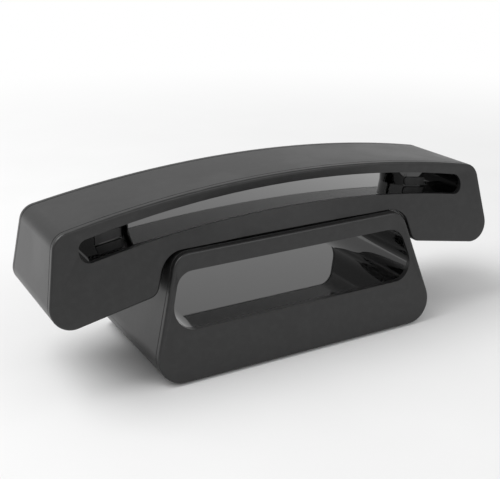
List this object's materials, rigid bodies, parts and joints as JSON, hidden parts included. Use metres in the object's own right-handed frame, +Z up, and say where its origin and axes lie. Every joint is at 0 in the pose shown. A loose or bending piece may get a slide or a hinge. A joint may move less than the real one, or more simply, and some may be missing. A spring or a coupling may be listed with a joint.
{
  "type": "cordless desk telephone",
  "caption": "Cordless desk telephone: a hollow arched handset with a keypad underneath lies across a hollow trapezoid charging base.",
  "frame": {"origin": "centre of the footprint on the table, under the rubber feet", "axes": "+X along the handset towards its mouthpiece, -Y towards the front, +Z up"},
  "size_m": [0.2158, 0.073, 0.0779],
  "materials": {
    "satin_black_shell": "soft satin black, fine even grain",
    "gloss_black_lining": "piano-black gloss",
    "dark_grey_keys": "dark grey satin",
    "dark_window": "tinted clear window",
    "display_glass": "grey-green display glass",
    "rubber_feet": "matt black rubber",
    "circuit_board": "green solder mask",
    "zinc_steel": "zinc plated",
    "tinned_metal": "tin plated sheet",
    "gold_contact": "gold flash",
    "inner_plastic": "plain black moulding",
    "battery_sleeve": "shrink sleeve"
  },
  "bodies": {
    "base": {"base_band": "satin_black_shell", "base_bottom_cover": "satin_black_shell", "base_front_frame": "satin_black_shell", "base_rear_frame": "satin_black_shell", "base_tunnel_liner": "gloss_black_lining", "base_circuit_board": "circuit_board", "base_radio_shield": "tinned_metal", "base_antenna": "circuit_board", "base_screws": "zinc_steel", "base_feet": "rubber_feet", "ballast_plate": "zinc_steel", "line_jack": "inner_plastic", "power_jack": "inner_plastic", "page_switch": "inner_plastic", "charging_contact_block": "inner_plastic", "charging_pins": "gold_contact"},
    "handset": {"handset_top_shell": "satin_black_shell", "handset_lower_shell": "satin_black_shell", "handset_front_frame": "satin_black_shell", "handset_rear_frame": "satin_black_shell", "handset_slot_liner": "gloss_black_lining", "slot_pod_right": "gloss_black_lining", "slot_pod_left": "gloss_black_lining", "handset_screws": "zinc_steel", "handset_antenna": "tinned_metal", "handset_circuit_board": "circuit_board", "key_dome_sheet": "inner_plastic", "display_window": "dark_window", "display_module": "display_glass", "charging_plates": "gold_contact", "earpiece_speaker": "inner_plastic", "microphone": "inner_plastic", "battery_cells": "battery_sleeve", "battery_contacts": "tinned_metal", "battery_saddle": "inner_plastic"},
    "page_key": {"page_key": "dark_grey_keys"},
    "slot_key_right": {"slot_key_right": "dark_grey_keys"},
    "slot_key_left": {"slot_key_left": "dark_grey_keys"},
    "battery_door": {"battery_door": "satin_black_shell"},
    "key_1": {"key_1": "dark_grey_keys"},
    "key_2": {"key_2": "dark_grey_keys"},
    "key_3": {"key_3": "dark_grey_keys"},
    "key_4": {"key_4": "dark_grey_keys"},
    "key_5": {"key_5": "dark_grey_keys"},
    "key_6": {"key_6": "dark_grey_keys"},
    "key_7": {"key_7": "dark_grey_keys"},
    "key_8": {"key_8": "dark_grey_keys"},
    "key_9": {"key_9": "dark_grey_keys"},
    "key_star": {"key_star": "dark_grey_keys"},
    "key_0": {"key_0": "dark_grey_keys"},
    "key_hash": {"key_hash": "dark_grey_keys"},
    "talk_key": {"talk_key": "dark_grey_keys"},
    "end_key": {"end_key": "dark_grey_keys"},
    "menu_key": {"menu_key": "dark_grey_keys"},
    "back_key": {"back_key": "dark_grey_keys"},
    "navigation_key": {"navigation_key": "dark_grey_keys"}
  },
  "joints": [
    {"name": "handset_lift", "type": "slide", "parent": "base", "child": "handset", "axis": [0, 0, 1], "range_m": [0, 0.1]},
    {"name": "battery_door_pull", "type": "slide", "parent": "handset", "child": "battery_door", "axis": [0, 0, -1], "range_m": [0, 0.02]},
    {"name": "page_key_press", "type": "slide", "parent": "base", "child": "page_key", "axis": [0, -1, 0], "range_m": [0, 0.0008], "stiffness_N_per_m": 300},
    {"name": "slot_key_left_press", "type": "slide", "parent": "handset", "child": "slot_key_left", "axis": [0, 1, 0], "range_m": [0, 0.0004], "stiffness_N_per_m": 300},
    {"name": "slot_key_right_press", "type": "slide", "parent": "handset", "child": "slot_key_right", "axis": [0, 1, 0], "range_m": [0, 0.0004], "stiffness_N_per_m": 300},
    {"name": "key_1_press", "type": "slide", "parent": "handset", "child": "key_1", "axis": [0, 0, 1], "range_m": [0, 0.0004], "stiffness_N_per_m": 300},
    {"name": "key_2_press", "type": "slide", "parent": "handset", "child": "key_2", "axis": [0, 0, 1], "range_m": [0, 0.0004], "stiffness_N_per_m": 300},
    {"name": "key_3_press", "type": "slide", "parent": "handset", "child": "key_3", "axis": [0, 0, 1], "range_m": [0, 0.0004], "stiffness_N_per_m": 300},
    {"name": "key_4_press", "type": "slide", "parent": "handset", "child": "key_4", "axis": [0, 0, 1], "range_m": [0, 0.0004], "stiffness_N_per_m": 300},
    {"name": "key_5_press", "type": "slide", "parent": "handset", "child": "key_5", "axis": [0, 0, 1], "range_m": [0, 0.0004], "stiffness_N_per_m": 300},
    {"name": "key_6_press", "type": "slide", "parent": "handset", "child": "key_6", "axis": [0, 0, 1], "range_m": [0, 0.0004], "stiffness_N_per_m": 300},
    {"name": "key_7_press", "type": "slide", "parent": "handset", "child": "key_7", "axis": [0, 0, 1], "range_m": [0, 0.0004], "stiffness_N_per_m": 300},
    {"name": "key_8_press", "type": "slide", "parent": "handset", "child": "key_8", "axis": [0, 0, 1], "range_m": [0, 0.0004], "stiffness_N_per_m": 300},
    {"name": "key_9_press", "type": "slide", "parent": "handset", "child": "key_9", "axis": [0, 0, 1], "range_m": [0, 0.0004], "stiffness_N_per_m": 300},
    {"name": "key_star_press", "type": "slide", "parent": "handset", "child": "key_star", "axis": [0, 0, 1], "range_m": [0, 0.0004], "stiffness_N_per_m": 300},
    {"name": "key_0_press", "type": "slide", "parent": "handset", "child": "key_0", "axis": [0, 0, 1], "range_m": [0, 0.0004], "stiffness_N_per_m": 300},
    {"name": "key_hash_press", "type": "slide", "parent": "handset", "child": "key_hash", "axis": [0, 0, 1], "range_m": [0, 0.0004], "stiffness_N_per_m": 300},
    {"name": "talk_key_press", "type": "slide", "parent": "handset", "child": "talk_key", "axis": [0, 0, 1], "range_m": [0, 0.0004], "stiffness_N_per_m": 300},
    {"name": "end_key_press", "type": "slide", "parent": "handset", "child": "end_key", "axis": [0, 0, 1], "range_m": [0, 0.0004], "stiffness_N_per_m": 300},
    {"name": "menu_key_press", "type": "slide", "parent": "handset", "child": "menu_key", "axis": [0, 0, 1], "range_m": [0, 0.0004], "stiffness_N_per_m": 300},
    {"name": "back_key_press", "type": "slide", "parent": "handset", "child": "back_key", "axis": [0, 0, 1], "range_m": [0, 0.0004], "stiffness_N_per_m": 300},
    {"name": "navigation_key_press", "type": "slide", "parent": "handset", "child": "navigation_key", "axis": [0, 0, 1], "range_m": [0, 0.0004], "stiffness_N_per_m": 300}
  ]
}
